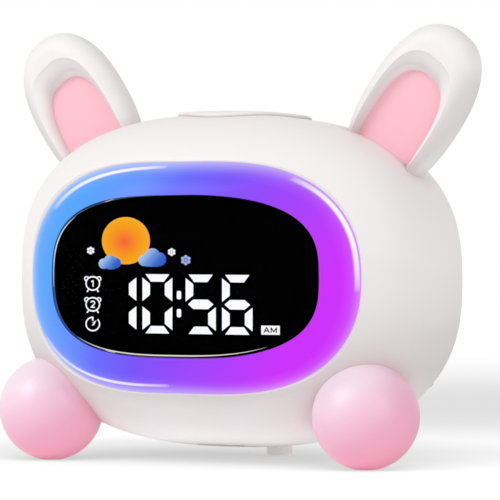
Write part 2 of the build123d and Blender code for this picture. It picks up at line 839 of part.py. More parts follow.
with BuildPart() as snooze_hollow:
    add(rod(upwards(*snooze_axis, snooze_skirt_z), snooze_radius - snooze_wall, body_half_height))
    add(body_solid(body_front_y, back_y, snooze_skin - snooze_rise), mode=Mode.INTERSECT)

with BuildPart() as snooze_seat:
    add(rod(upwards(*snooze_axis, spring_seat_z), seat_outer, body_half_height))
    add(rod(upwards(*snooze_axis, spring_seat_z), seat_inner, body_half_height), mode=Mode.SUBTRACT)
    add(body, mode=Mode.INTERSECT)

bracket_top = bracket_z + bracket_thickness
stem_top = bracket_top + switch_body + snooze_stem
with BuildPart() as snooze_plunger:
    add(rod(upwards(*snooze_axis, stem_top + snooze_travel + stem_gap), peg_radius, body_half_height))
    add(body, mode=Mode.INTERSECT)

with BuildPart() as snooze_button:
    add(rod(upwards(*snooze_axis, snooze_skirt_z), snooze_radius, body_half_height))
    add(snooze_surface, mode=Mode.INTERSECT)
    fillet(faces().sort_by(Axis.Z)[-1].edges(), snooze_rise * 0.85)
    add(rod(upwards(*snooze_axis, snooze_skirt_z), snooze_radius + snooze_flange, snooze_flange_thickness))
    add(snooze_hollow, mode=Mode.SUBTRACT)
    add(snooze_seat)
    add(snooze_plunger)
save(snooze_button, "snooze_button")

with BuildPart() as snooze_bracket:
    with BuildSketch(Plane.XY.offset(bracket_z)):
        with Locations(snooze_axis):
            RectangleRounded(2 * bracket_half_length, 2 * bracket_half_width, peg_radius)
        with Locations((-bracket_boss_x, bracket_boss_y), (bracket_boss_x, bracket_boss_y)):
            Circle(small_screw_radius + peg_gap, mode=Mode.SUBTRACT)
    extrude(amount=bracket_thickness)
save(snooze_bracket, "snooze_bracket")

bracket_screw = screw(upwards(bracket_boss_x, bracket_boss_y, bracket_z), small_screw_radius,
                      bracket_thickness + small_screw_depth, small_head_radius, small_head_height)
with BuildPart() as bracket_screws:
    add(bracket_screw)
    mirror(bracket_screw, about=Plane.YZ)
save(bracket_screws, "bracket_screws")

with BuildPart() as snooze_switch:
    with BuildSketch(Plane.XY.offset(bracket_top)):
        with Locations(snooze_axis):
            RectangleRounded(switch_size, switch_size, switch_corner)
    extrude(amount=switch_body)
    add(rod(upwards(*snooze_axis, bracket_top), switch_stem_radius, stem_top - bracket_top))
save(snooze_switch, "snooze_switch")

spring_height = spring_seat_z - bracket_top - 2 * spring_wire - 2 * peg_gap
with BuildPart() as snooze_spring:
    with BuildLine(upwards(*snooze_axis, bracket_top + spring_wire + peg_gap)) as coil:
        Helix(spring_height / spring_turns, spring_height, spring_radius)
    with BuildSketch(Plane(origin=coil.line @ 0, z_dir=coil.line % 0)):
        Circle(spring_wire)
    sweep()
save(snooze_spring, "snooze_spring")

# ---------------------------------------------------------------- rear controls
main_board_front_y = main_board_back_y - board_thickness
button_outer_y = back_y - panel_depth + button_proud
button_inner_y = back_inner_y - button_gap - button_flange_thickness
stem_y = main_board_back_y + switch_body + switch_stem + button_travel + button_gap

for name, (x, z) in button_places.items():
    with BuildPart() as button:
        add(rod(to_front(x, button_outer_y, z), button_radius, button_outer_y - button_inner_y))
        fillet(faces().sort_by(Axis.Y)[-1].edges(), button_proud * 0.7)
        add(rod(to_back(x, button_inner_y, z), button_radius + button_flange, button_flange_thickness))
        add(rod(to_back(x, stem_y, z), peg_radius / 2, button_inner_y - stem_y))
    save(button, f"{name}_button")

with BuildPart() as main_board:
    with BuildSketch(across(main_board_back_y)):
        RectangleRounded(main_board_width, main_board_height, post_radius)
        with Locations(*[(x, z - body_z) for x, z in posts_at]):
            Circle(board_screw_radius + peg_gap, mode=Mode.SUBTRACT)
    extrude(amount=board_thickness)
save(main_board, "main_board")

with BuildPart() as button_switches:
    for x, z in button_places.values():
        with BuildSketch(across(main_board_back_y)):
            with Locations((x, z - body_z)):
                RectangleRounded(switch_size, switch_size, switch_corner)
        extrude(amount=-switch_body)
        add(rod(to_back(x, main_board_back_y, z), switch_stem_radius, switch_body + switch_stem))
save(button_switches, "button_switches")

with BuildPart() as main_board_screws:
    for x, z in posts_at:
        add(screw(to_back(x, main_board_front_y, z), board_screw_radius,
                  board_thickness + small_screw_depth - peg_gap, small_head_radius, small_head_height))
save(main_board_screws, "main_board_screws")

socket_depth = back_y - panel_depth - main_board_back_y
with BuildPart() as usb_socket:
    with BuildSketch(across(main_board_back_y)):
        with Locations((0, -usb_drop)):
            RectangleRounded(usb_width, usb_height, usb_corner)
    extrude(amount=-socket_depth)
    with BuildSketch(across(main_board_back_y + socket_depth)):
        with Locations((0, -usb_drop)):
            RectangleRounded(usb_width - 2 * usb_wall, usb_height - 2 * usb_wall, usb_corner - usb_wall)
            Rectangle(usb_tongue_width, usb_tongue_height, mode=Mode.SUBTRACT)
    extrude(amount=usb_mouth, mode=Mode.SUBTRACT)
save(usb_socket, "usb_socket")

# ---------------------------------------------------------------- battery
battery_back_y = main_board_front_y - tape_thickness
with BuildPart() as battery_tape:
    with BuildSketch(across(main_board_front_y)):
        Rectangle(tape_width, tape_height)
    extrude(amount=tape_thickness)
save(battery_tape, "battery_tape")

with BuildPart() as battery:
    with BuildSketch(across(battery_back_y)):
        Rectangle(battery_width, battery_height)
    extrude(amount=battery_thickness)
    fillet(edges().filter_by(Axis.X), battery_edge)
save(battery, "battery")

# ---------------------------------------------------------------- speaker
basket_radius = speaker_radius - speaker_flange - peg_gap
speaker_axis = (0, speaker_y)

with BuildPart() as speaker_frame:
    # A pressed flange with two ears, and a basket that narrows to the magnet
    with BuildSketch(Plane.XY.offset(speaker_seat_z)):
        with Locations(speaker_axis):
            Circle(speaker_radius)
            SlotOverall(2 * (speaker_screw_x + small_screw_radius + boss_wall),
                        2 * (small_screw_radius + boss_wall))
        with Locations((-speaker_screw_x, speaker_y), (speaker_screw_x, speaker_y)):
            Circle(small_screw_radius + peg_gap, mode=Mode.SUBTRACT)
    extrude(amount=speaker_flange)
    with Locations((*speaker_axis, speaker_seat_z + speaker_flange)):
        Cone(basket_radius, magnet_radius, basket_height,
             align=(Align.CENTER, Align.CENTER, Align.MIN))
    with Locations((*speaker_axis, speaker_seat_z)):
        Cone(basket_radius - basket_wall, magnet_radius - basket_wall, speaker_flange + basket_height,
             align=(Align.CENTER, Align.CENTER, Align.MIN), mode=Mode.SUBTRACT)
save(speaker_frame, "speaker_frame")

with BuildPart() as speaker_cone:
    with Locations((*speaker_axis, speaker_seat_z + speaker_flange / 2)):
        Cone(basket_radius - basket_wall * 2, magnet_radius / 2, basket_height,
             align=(Align.CENTER, Align.CENTER, Align.MIN))
        Cone(basket_radius - basket_wall * 2 - cone_thickness * 2, magnet_radius / 2 - cone_thickness * 2,
             basket_height - cone_thickness, align=(Align.CENTER, Align.CENTER, Align.MIN),
             mode=Mode.SUBTRACT)
save(speaker_cone, "speaker_cone")

magnet_z = speaker_seat_z + speaker_flange + basket_height
with BuildPart() as speaker_magnet:
    add(rod(upwards(*speaker_axis, magnet_z), magnet_radius, magnet_height))
    chamfer(faces().sort_by(Axis.Z)[-1].edges(), basket_wall / 2)
save(speaker_magnet, "speaker_magnet")

speaker_screw = screw(downwards(speaker_screw_x, speaker_y, speaker_seat_z + speaker_flange),
                      small_screw_radius, speaker_flange + small_screw_depth - peg_gap,
                      small_head_radius, small_head_height)
with BuildPart() as speaker_screws:
    add(speaker_screw)
    mirror(speaker_screw, about=Plane.YZ)
save(speaker_screws, "speaker_screws")
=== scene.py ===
"""Looks of a bedside clock with a night light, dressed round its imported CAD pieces.

Lengths are in millimetres until they reach Blender, which works in metres.
"""
import json
import math

import bmesh
import bpy
from mathutils import Matrix, Vector


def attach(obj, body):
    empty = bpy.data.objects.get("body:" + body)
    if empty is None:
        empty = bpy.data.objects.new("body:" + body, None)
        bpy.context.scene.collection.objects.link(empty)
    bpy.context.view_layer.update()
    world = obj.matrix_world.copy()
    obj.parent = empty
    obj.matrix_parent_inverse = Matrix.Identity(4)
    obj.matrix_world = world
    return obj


MM = 0.001

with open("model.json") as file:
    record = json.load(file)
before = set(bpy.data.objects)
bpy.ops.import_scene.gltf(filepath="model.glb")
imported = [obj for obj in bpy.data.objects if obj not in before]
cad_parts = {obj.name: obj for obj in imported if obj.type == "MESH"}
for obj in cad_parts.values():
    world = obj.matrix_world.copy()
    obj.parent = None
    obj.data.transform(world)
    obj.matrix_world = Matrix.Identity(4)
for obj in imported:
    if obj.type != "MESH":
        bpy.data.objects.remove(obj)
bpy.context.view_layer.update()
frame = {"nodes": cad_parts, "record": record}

# ------------------------------------------------------------------ sizes shared with the solids
BODY_Z = 55.2
RING_HALF_WIDTH = 56.5
RING_MIDDLE = BODY_Z + 1.4
SEAT_Y = -35.4  # where the ring's top and bottom meet the shell
SEAT_DEPTH = 5.3  # how much further back its sides meet it
WINDOW_HALF_WIDTH = 45.75
WINDOW_HALF_HEIGHT = 24.44
WINDOW_ROUNDNESS = 2.86  # the power of the window's rounded outline
WINDOW_MIDDLE = BODY_Z + 1.8
DOME_RADIUS = 124.0
DOME_FRONT_Y = -45.3
DISPLAY_Y = -36.0  # the front of the black display mask

# ------------------------------------------------------------------ the lit picture and symbols
STRETCH = 1.165  # the display's symbols are this much wider than tall
FILM_PITCH = 0.05  # from one printed film to the next
FILM_THICKNESS = 0.9 * FILM_PITCH
SUN_X, SUN_Z, SUN_RADIUS = -19.91, 67.63, 7.15
# A cloud is the x and z of its centre, and its round lobes: x and z from there, and a radius
LARGE_CLOUD = (-10.9, 62.0, ((-2.2, -0.2, 1.8), (0.2, 1.15, 2.25), (2.15, 0.1, 2.1),
                             (0.0, -0.65, 1.55), (1.3, -0.6, 1.6), (-1.1, -0.6, 1.55)))
SMALL_CLOUD = (-25.5, 61.0, ((-1.7, -0.35, 1.6), (0.1, 0.65, 1.75), (1.75, -0.1, 1.6),
                             (0.0, -0.8, 1.3), (0.9, -0.75, 1.3)))
LARGE_CLOUD_FADE = 9.4  # how far its colour runs before it is at its deepest
SMALL_CLOUD_FADE = 7.0
# A snow sign is its name, the x and z of its centre, and its radius
FLAKES = (("white", -32.2, 64.6, 1.25), ("white_far", -4.1, 64.3, 1.25),
          ("pale_blue", 0.75, 61.9, 1.6))
DIAL_X = -31.45
ALARM_HEIGHTS = {"1": 54.65, "2": 48.3}
TIMER_HEIGHT = 42.35
DIAL_RADIUS = 2.03
DIAL_STROKE = 0.44
AM_LEFT, AM_BOTTOM, AM_RIGHT, AM_TOP = 26.3, 39.95, 32.5, 42.65


# ------------------------------------------------------------------ colours and nodes
def paint(code):
    """An sRGB hex colour as the linear colour that a shader takes."""
    channels = [int(code[place:place + 2], 16) / 255 for place in (1, 3, 5)]
    linear = [c / 12.92 if c <= 0.04045 else ((c + 0.055) / 1.055) ** 2.4 for c in channels]
    return (*linear, 1.0)


def add_node(tree, kind, sockets=(), stops=(), **settings):
    """A node with its settings; each socket is given a value or another node's output."""
    made = tree.nodes.new(kind)
    for name, value in settings.items():
        setattr(made, name, value)
    for place, value in dict(sockets).items():
        if isinstance(value, bpy.types.NodeSocket):
            tree.links.new(value, made.inputs[place])
        else:
            made.inputs[place].default_value = value
    if stops:
        ramp = made.color_ramp.elements
        for end, (place, colour) in ((0, stops[0]), (1, stops[-1])):
            ramp[end].position = place
            ramp[end].color = paint(colour)
        for place, colour in stops[1:-1]:
            ramp.new(place).color = paint(colour)
    return made


def start_material(name):
    """A new material: its tree, its shader and the place on the object in millimetres."""
    made = bpy.data.materials.new(name)
    made.use_nodes = True
    tree = made.node_tree
    shader = tree.nodes["Principled BSDF"]
    place = add_node(tree, "ShaderNodeTexCoord").outputs["Object"]
    millimetres = add_node(tree, "ShaderNodeVectorMath", {0: place, 1: (1 / MM, 1 / MM, 1 / MM)},
                           operation="MULTIPLY")
    return made, tree, shader, millimetres.outputs[0]


# ------------------------------------------------------------------ materials
# A mould's eroded grain is about 0.1 mm across, too fine to show, so it is drawn this coarse
SHOWN_GRAIN = 0.7
SHELL_RELIEF = 0.006  # how deep the grain of the shell's satin mould is
# Large mouldings cool unevenly, so their tone drifts over about these distances
SHELL_DRIFT = 25.0
BALL_DRIFT = 9.0
MASK_DRIFT = 12.0
WINDOW_DRIFT = 12.5
HOLLOW_REACH = 7.0  # how far shade reaches out of the shell's hollows and joints
HUE_SLANT = 0.55  # a millimetre down changes the ring's colour as this many to the right do
HUE_REACH = 60.0  # from the ring's middle to where its colour stops changing
EDGE_REACH = 5.0  # how far up from its seat the ring is painted paler, a painted sheen on its rolled edge
EDGE_NARROWING = 1.3  # how much less that is at its right
RING_TO_EYE = 0.97  # how strongly the ring glows for the eye, and for the pieces round it
RING_TO_NEIGHBOURS = 0.25


def moulded(name, colour, shade, roughness, drift=22.0, grain=SHOWN_GRAIN, relief=0.012,
            specular=0.5):
    """A moulded or foamed surface: a slow drift between two close tones, and a fine dull grain."""
    made, tree, shader, place = start_material(name)
    slow = add_node(tree, "ShaderNodeTexNoise", {"Vector": place, "Scale": 1 / drift, "Detail": 2.0})
    fine = add_node(tree, "ShaderNodeTexNoise", {"Vector": place, "Scale": 1 / grain, "Detail": 3.0})
    tones = add_node(tree, "ShaderNodeMix", {"Factor": slow.outputs["Fac"], "A": paint(colour),
                                            "B": paint(shade)}, data_type="RGBA")
    dull = add_node(tree, "ShaderNodeMapRange", {"Value": fine.outputs["Fac"],
                                                 "To Min": roughness * 0.9,
                                                 "To Max": roughness * 1.1})
    bump = add_node(tree, "ShaderNodeBump", {"Height": fine.outputs["Fac"], "Distance": relief * MM,
                                             "Strength": 0.6})
    tree.links.new(tones.outputs["Result"], shader.inputs["Base Color"])
    tree.links.new(dull.outputs["Result"], shader.inputs["Roughness"])
    tree.links.new(bump.outputs["Normal"], shader.inputs["Normal"])
    shader.inputs["Specular IOR Level"].default_value = specular
    return made


def satin_shell():
    """White ABS from a satin mould, with painted light and shade: white facing up, greyer where it
    turns down, white again facing the floor, and painted shade in its hollows.
    """
    made, tree, shader, place = start_material("white_abs_satin")
    # Painted light and shade: the facing direction, with a little random drift, picks a tone from the
    # ramp
    normal = add_node(tree, "ShaderNodeNewGeometry").outputs["Normal"]
    facing = add_node(tree, "ShaderNodeSeparateXYZ", {0: normal})
    slow = add_node(tree, "ShaderNodeTexNoise", {"Vector": place, "Scale": 1 / SHELL_DRIFT,
                                                 "Detail": 2.0})
    drift = add_node(tree, "ShaderNodeMath", {0: slow.outputs["Fac"], 1: 0.1,
                                              2: facing.outputs["Z"]}, operation="MULTIPLY_ADD")
    level = add_node(tree, "ShaderNodeMapRange", {"Value": drift.outputs[0], "From Min": -1.0,
                                                  "From Max": 1.1})
    tones = add_node(tree, "ShaderNodeValToRGB", {"Fac": level.outputs["Result"]},
                     stops=((0.04, "#FFFFFF"), (0.14, "#F2EDED"), (0.26, "#DFDADA"),
                            (0.38, "#E2DDDD"), (0.52, "#F5F1F0"), (1.0, "#FDF9F8")))
    # Painted shade: hollows and joints are greyed toward #DCCCCC by ambient occlusion
    near = add_node(tree, "ShaderNodeAmbientOcclusion", {"Distance": HOLLOW_REACH * MM}, samples=12)
    hollow = add_node(tree, "ShaderNodeMapRange", {"Value": near.outputs["AO"], "From Min": 1.0,
                                                   "From Max": 0.3})
    shaded = add_node(tree, "ShaderNodeMix", {"Factor": hollow.outputs["Result"],
                                             "A": tones.outputs["Color"],
                                             "B": paint("#DCCCCC")}, data_type="RGBA")
    grain = add_node(tree, "ShaderNodeTexNoise", {"Vector": place, "Scale": 1 / SHOWN_GRAIN,
                                                  "Detail": 3.0})
    bump = add_node(tree, "ShaderNodeBump", {"Height": grain.outputs["Fac"],
                                             "Distance": SHELL_RELIEF * MM, "Strength": 0.6})
    tree.links.new(shaded.outputs["Result"], shader.inputs["Base Color"])
    tree.links.new(bump.outputs["Normal"], shader.inputs["Normal"])
    shader.inputs["Roughness"].default_value = 0.45
    shader.inputs["Specular IOR Level"].default_value = 0.25
    return made


def ball_pink():
    """Pink ABS from a polished mould, with painted light and shade: pale where it faces up toward the
    key lamp, a deeper pink below.
    """
    made, tree, shader, place = start_material("pink_abs_gloss")
    # Painted light and shade: how far it turns toward the key lamp, with a little random drift, picks
    # its pink
    normal = add_node(tree, "ShaderNodeNewGeometry").outputs["Normal"]
    facing = add_node(tree, "ShaderNodeVectorMath", {0: normal, 1: (-0.35, -0.45, 0.82)},
                      operation="DOT_PRODUCT")
    slow = add_node(tree, "ShaderNodeTexNoise", {"Vector": place, "Scale": 1 / BALL_DRIFT,
                                                 "Detail": 1.0})
    drift = add_node(tree, "ShaderNodeMath", {0: slow.outputs["Fac"], 1: 0.08,
                                              2: facing.outputs["Value"]}, operation="MULTIPLY_ADD")
    share = add_node(tree, "ShaderNodeMapRange", {"Value": drift.outputs[0], "From Min": -0.95,
                                                  "From Max": 1.0})
    tones = add_node(tree, "ShaderNodeValToRGB", {"Fac": share.outputs["Result"]},
                     stops=((0.0, "#F3A0BC"), (0.45, "#F7B4CC"), (0.72, "#FBCBE0"),
                            (0.88, "#FEE0EF"), (1.0, "#FFEAF4")))
    tree.links.new(tones.outputs["Color"], shader.inputs["Base Color"])
    shader.inputs["Roughness"].default_value = 0.3
    shader.inputs["Specular IOR Level"].default_value = 0.35
    return made


def light_up(shader, strength):
    """Makes a shader a lit light guide: dark plastic with no shine, so that only its light shows."""
    shader.inputs["Emission Strength"].default_value = strength
    shader.inputs["Base Color"].default_value = paint("#101010")
    shader.inputs["Roughness"].default_value = 0.5
    shader.inputs["Specular IOR Level"].default_value = 0.0


def glowing(name, colour, shade, strength, drift):
    """Light through a guide or a film, which drifts slightly over it as it does over real LEDs."""
    made, tree, shader, place = start_material(name)
    slow = add_node(tree, "ShaderNodeTexNoise", {"Vector": place, "Scale": 1 / drift, "Detail": 1.0})
    tones = add_node(tree, "ShaderNodeMix", {"Factor": slow.outputs["Fac"], "A": paint(colour),
                                            "B": paint(shade)}, data_type="RGBA")
    tree.links.new(tones.outputs["Result"], shader.inputs["Emission Color"])
    light_up(shader, strength)
    return made


def lit_print(name, pattern, start, reach, turn, stops):
    """A lit printed film whose colour runs along a line from its start, or out from a centre."""
    made, tree, shader, place = start_material(name)
    laid = add_node(tree, "ShaderNodeMapping", {"Vector": place,
                                                "Location": (start[0], DISPLAY_Y, start[1]),
                                                "Rotation": (0, math.radians(turn), 0),
                                                "Scale": reach}, vector_type="TEXTURE")
    run = add_node(tree, "ShaderNodeTexGradient", {"Vector": laid.outputs[0]}, gradient_type=pattern)
    tones = add_node(tree, "ShaderNodeValToRGB", {"Fac": run.outputs["Fac"]}, stops=stops)
    tree.links.new(tones.outputs["Color"], shader.inputs["Emission Color"])
    light_up(shader, 1.0)
    return made


def brushed_metal(name, colour, shade, roughness, line=0.25):
    """Drawn or plated metal with fine lines, as wide as line says, that streak its shine."""
    made, tree, shader, place = start_material(name)
    stretched = add_node(tree, "ShaderNodeMapping", {"Vector": place,
                                                     "Scale": (1 / line, 0.2, 1 / line)})
    lines = add_node(tree, "ShaderNodeTexNoise", {"Vector": stretched.outputs[0], "Scale": 1.0,
                                                  "Detail": 2.0})
    tones = add_node(tree, "ShaderNodeMix", {"Factor": lines.outputs["Fac"], "A": paint(colour),
                                            "B": paint(shade)}, data_type="RGBA")
    dull = add_node(tree, "ShaderNodeMapRange", {"Value": lines.outputs["Fac"],
                                                 "To Min": roughness * 0.8,
                                                 "To Max": roughness * 1.2})
    tree.links.new(tones.outputs["Result"], shader.inputs["Base Color"])
    tree.links.new(dull.outputs["Result"], shader.inputs["Roughness"])
    shader.inputs["Metallic"].default_value = 1.0
    return made


def painted_highlight_line(tree, angle, height, ends, heights, width, strength):
    """How much of a thin painted highlight lies here, between two angles round the ring.

    The streak runs at one height above the seat to another, and fades out at both its ends.
    """
    run = add_node(tree, "ShaderNodeMapRange", {"Value": angle, "From Min": ends[0],
                                                "From Max": ends[1], "To Max": math.pi})
    swell = add_node(tree, "ShaderNodeMath", {0: run.outputs["Result"]}, operation="SINE")
    full = add_node(tree, "ShaderNodeMath", {0: swell.outputs[0], 1: 0.5}, operation="POWER")
    centre = add_node(tree, "ShaderNodeMapRange", {"Value": angle, "From Min": ends[0],
                                                   "From Max": ends[1], "To Min": heights[0],
                                                   "To Max": heights[1]})
    off = add_node(tree, "ShaderNodeMath", {0: height, 1: centre.outputs["Result"]},
                   operation="SUBTRACT")
    away = add_node(tree, "ShaderNodeMath", {0: off.outputs[0]}, operation="ABSOLUTE")
    near = add_node(tree, "ShaderNodeMapRange", {"Value": away.outputs[0], "From Min": width,
                                                 "From Max": width * 0.3, "To Max": strength},
                    interpolation_type="SMOOTHSTEP")
    return add_node(tree, "ShaderNodeMath", {0: near.outputs["Result"], 1: full.outputs[0]},
                    operation="MULTIPLY").outputs[0]


def milky_diffuser():
    """Polished milky PMMA lit from behind by LEDs of many colours.

    To the eye it is blue at the left and runs through indigo to magenta at the right. It is painted
    paler where it meets the shell, a painted sheen on its rolled edge, and has three thin painted
    highlights.
    """
    made, tree, shader, place = start_material("milky_pmma_diffuser")
    x, y, z = add_node(tree, "ShaderNodeSeparateXYZ", {0: place}).outputs
    # The colour runs to the right and a little down
    slant = add_node(tree, "ShaderNodeMath", {0: z, 1: -HUE_SLANT, 2: HUE_SLANT * RING_MIDDLE},
                     operation="MULTIPLY_ADD")
    along = add_node(tree, "ShaderNodeMath", {0: x, 1: slant.outputs[0]}, operation="ADD").outputs[0]
    share = add_node(tree, "ShaderNodeMapRange", {"Value": along, "From Min": -HUE_REACH,
                                                  "From Max": HUE_REACH})
    hue = add_node(tree, "ShaderNodeValToRGB", {"Fac": share.outputs["Result"]},
                   stops=((0.10, "#52A6FE"), (0.27, "#6490FE"), (0.38, "#6669FE"), (0.50, "#7852FB"),
                          (0.63, "#9745FD"), (0.76, "#AF3CFE"), (0.90, "#CE2CFE")))
    # Its height above the curved seat: low down its colour is painted paler, a painted sheen on its
    # rolled outer edge
    bow = add_node(tree, "ShaderNodeMath", {0: x, 1: x}, operation="MULTIPLY")
    seat = add_node(tree, "ShaderNodeMath", {0: bow.outputs[0], 1: SEAT_DEPTH / RING_HALF_WIDTH**2,
                                             2: SEAT_Y}, operation="MULTIPLY_ADD")
    height = add_node(tree, "ShaderNodeMath", {0: seat.outputs[0], 1: y},
                      operation="SUBTRACT").outputs[0]
    narrow = add_node(tree, "ShaderNodeMapRange", {"Value": along, "From Min": 0.0, "From Max": 55.0,
                                                   "To Max": EDGE_NARROWING})
    inner = add_node(tree, "ShaderNodeMath", {0: height, 1: narrow.outputs["Result"]},
                     operation="ADD")
    depth = add_node(tree, "ShaderNodeMapRange", {"Value": inner.outputs[0], "From Max": EDGE_REACH})
    edge = add_node(tree, "ShaderNodeValToRGB", {"Fac": depth.outputs["Result"]},
                    stops=((0.05, "#B8B8B8"), (0.2, "#A0A0A0"), (0.4, "#787878"), (0.6, "#404040"),
                           (0.85, "#000000")))
    pale = add_node(tree, "ShaderNodeMix", {"Factor": edge.outputs["Color"],
                                           "A": hue.outputs["Color"],
                                           "B": paint("#F2E6F6")}, data_type="RGBA")
    # The painted highlights lie by their angle round the ring, in degrees from its right
    rise = add_node(tree, "ShaderNodeMath", {0: z, 1: RING_MIDDLE}, operation="SUBTRACT")
    turn = add_node(tree, "ShaderNodeMath", {0: rise.outputs[0], 1: x}, operation="ARCTAN2")
    angle = add_node(tree, "ShaderNodeMath", {0: turn.outputs[0], 1: math.degrees(1)},
                     operation="MULTIPLY").outputs[0]
    top_left = painted_highlight_line(tree, angle, height, ends=(99, 156), heights=(1.4, 2.7), width=0.55,
                           strength=1.0)
    bottom_left = painted_highlight_line(tree, angle, height, ends=(-160, -97), heights=(1.9, 2.2), width=0.5,
                              strength=0.8)
    right = painted_highlight_line(tree, angle, height, ends=(-4, 40), heights=(0.8, 1.3), width=0.75,
                        strength=1.0)
    left = add_node(tree, "ShaderNodeMath", {0: top_left, 1: bottom_left}, operation="MAXIMUM")
    streak = add_node(tree, "ShaderNodeMath", {0: left.outputs[0], 1: right}, operation="MAXIMUM")
    # Painted highlights: the streaks glow a near white over the ring's colour
    lit = add_node(tree, "ShaderNodeMix", {"Factor": streak.outputs[0], "A": pale.outputs["Result"],
                                          "B": paint("#FBF8FF")}, data_type="RGBA")
    # The eye sees its full colour, and its neighbours get a soft share of its light
    path = add_node(tree, "ShaderNodeLightPath")
    glow = add_node(tree, "ShaderNodeMapRange", {"Value": path.outputs["Is Camera Ray"],
                                                 "To Min": RING_TO_NEIGHBOURS,
                                                 "To Max": RING_TO_EYE})
    tree.links.new(lit.outputs["Result"], shader.inputs["Emission Color"])
    tree.links.new(glow.outputs["Result"], shader.inputs["Emission Strength"])
    shader.inputs["Base Color"].default_value = paint("#08080A")
    shader.inputs["Roughness"].default_value = 0.25
    shader.inputs["Specular IOR Level"].default_value = 0.1
    return made


def smoked_window():
    """Smoked acrylic with an anti-glare coat: clear over the lit figures, dark where seen edge-on."""
    made, tree, shader, place = start_material("smoked_acrylic_window")
    slow = add_node(tree, "ShaderNodeTexNoise", {"Vector": place, "Scale": 1 / WINDOW_DRIFT,
                                                 "Detail": 1.0})
    tones = add_node(tree, "ShaderNodeMix", {"Factor": slow.outputs["Fac"], "A": paint("#FAFAFC"),
                                            "B": paint("#F4F4F8")}, data_type="RGBA")
    turned = add_node(tree, "ShaderNodeLayerWeight", {"Blend": 0.5}).outputs["Facing"]
    smoke = add_node(tree, "ShaderNodeMapRange", {"Value": turned, "From Min": 0.5,
                                                  "From Max": 0.85})
    tinted = add_node(tree, "ShaderNodeMix", {"Factor": smoke.outputs["Result"],
                                             "A": tones.outputs["Result"],
                                             "B": paint("#141418")}, data_type="RGBA")
    tree.links.new(tinted.outputs["Result"], shader.inputs["Base Color"])
    shader.inputs["Transmission Weight"].default_value = 1.0
    shader.inputs["Roughness"].default_value = 0.0
    # Lower than acrylic's 1.49, so that no lamp or floor is mirrored over the black display
    shader.inputs["IOR"].default_value = 1.02
    shader.inputs["Specular IOR Level"].default_value = 0.0
    return made


def black_mask():
    """Dead-matt black paint on ABS, in which almost no light is left to see."""
    made, tree, shader, place = start_material("black_matt_mask")
    slow = add_node(tree, "ShaderNodeTexNoise", {"Vector": place, "Scale": 1 / MASK_DRIFT,
                                                 "Detail": 1.0})
    tones = add_node(tree, "ShaderNodeMix", {"Factor": slow.outputs["Fac"], "A": paint("#020202"),
                                            "B": paint("#010101")}, data_type="RGBA")
    tree.links.new(tones.outputs["Result"], shader.inputs["Base Color"])
    shader.inputs["Roughness"].default_value = 0.9
    shader.inputs["Specular IOR Level"].default_value = 0.0
    return made


def cloud_print(name, cloud, fade):
    """A lit blue film that runs from a pale upper left to a deep lower right."""
    start = (cloud[0] - 0.5 * fade, cloud[1] + 0.42 * fade)
    return lit_print(name, "LINEAR", start, (fade, fade, fade), 45,
                     ((0.0, "#E4EEFA"), (0.3, "#B4CDF0"), (0.6, "#6C98DE"), (0.85, "#3A6ED0"),
                      (1.0, "#2A60C8")))


def sun_print():
    """A lit amber film, warmest a little to the lower left of its middle."""
    wide, tall = SUN_RADIUS * STRETCH * 1.12, SUN_RADIUS * 1.12
    return lit_print("lit_sun_print", "SPHERICAL", (SUN_X - 0.5, SUN_Z - 0.3), (wide, tall, tall), 0,
                     ((0.0, "#FFB836"), (0.22, "#FFAA18"), (0.5, "#FF9C18"), (0.78, "#FF7E2C"),
                      (1.0, "#FF6438")))


finishes = {
    "shell": satin_shell(),
    # Zinc plating: a grey metal with fine streaks in its shine
    "steel": brushed_metal("zinc_plated_steel", "#B9BCC2", "#8E9197", 0.34),
    "diffuser": milky_diffuser(),
    # White ABS, slightly warm and dull, which scatters light without a glare
    "reflector": moulded("white_reflector_plastic", "#F2F1EE", "#E8E7E3", 0.55),
    # Solder mask: a deep green lacquer with a soft gloss, cloudy over the copper
    "board": moulded("green_solder_mask", "#1E5B33", "#174A29", 0.35, drift=4.0),
    # Lit phosphor behind clear resin: a soft warm white
    "led": glowing("led_package", "#FFF6D8", "#FFEFC0", 0.6, 2.0),
    "lens": smoked_window(),
    # Lit clear PMMA: the figures are an even cool white
    "digit": glowing("lit_light_guide", "#FFFFFF", "#FAFBFF", 1.04, 6.0),
    "mask": black_mask(),
    # Pink ABS from a matt mould: a flat, even pink with almost no shine
    "ear_pink": moulded("pink_abs_matt", "#FFC7D3", "#FFC3D0", 0.6, relief=0.004, specular=0.15),
    "foot_pink": ball_pink(),
    # Moulded rubber: white and dull
    "rubber": moulded("white_rubber", "#FFFEFC", "#F8F6F4", 0.7),
    # Unpainted ABS: a yellowish white, half dull
    "bracket": moulded("natural_abs_bracket", "#DAD8D2", "#D0CEC8", 0.5),
    # Black nylon: near black with a dull shine
    "switch": moulded("black_switch_plastic", "#1E1E21", "#141416", 0.45),
    # Drawn spring wire: a bright metal with lines along it
    "spring": brushed_metal("spring_steel_wire", "#C4C7CC", "#A2A5AA", 0.28, line=0.15),
    # Polyethylene foam: off-white and dead matt, with open pores
    "tape": moulded("white_foam_tape", "#E4E2DC", "#D6D4CE", 0.85, drift=2.0, grain=0.4, relief=0.05),
    # Laminated aluminium foil: a soft silver with broad streaks
    "pouch": brushed_metal("aluminium_pouch_foil", "#C9CBD0", "#B2B5BA", 0.4, line=1.2),
    # Pressed paper: matt black with a fibrous face
    "cone": moulded("paper_cone_black", "#222226", "#161619", 0.8, drift=3.0, grain=0.3, relief=0.04),
    # Sintered ferrite: dark grey, dull and slightly mottled
    "magnet": moulded("ferrite_magnet", "#3A3A3D", "#2C2C2F", 0.6, drift=3.0),
}
for part in frame["record"]["subparts"]:
    node = frame["nodes"][part["node"]]
    node.data.materials.clear()
    node.data.materials.append(finishes[part["material_slot"]])

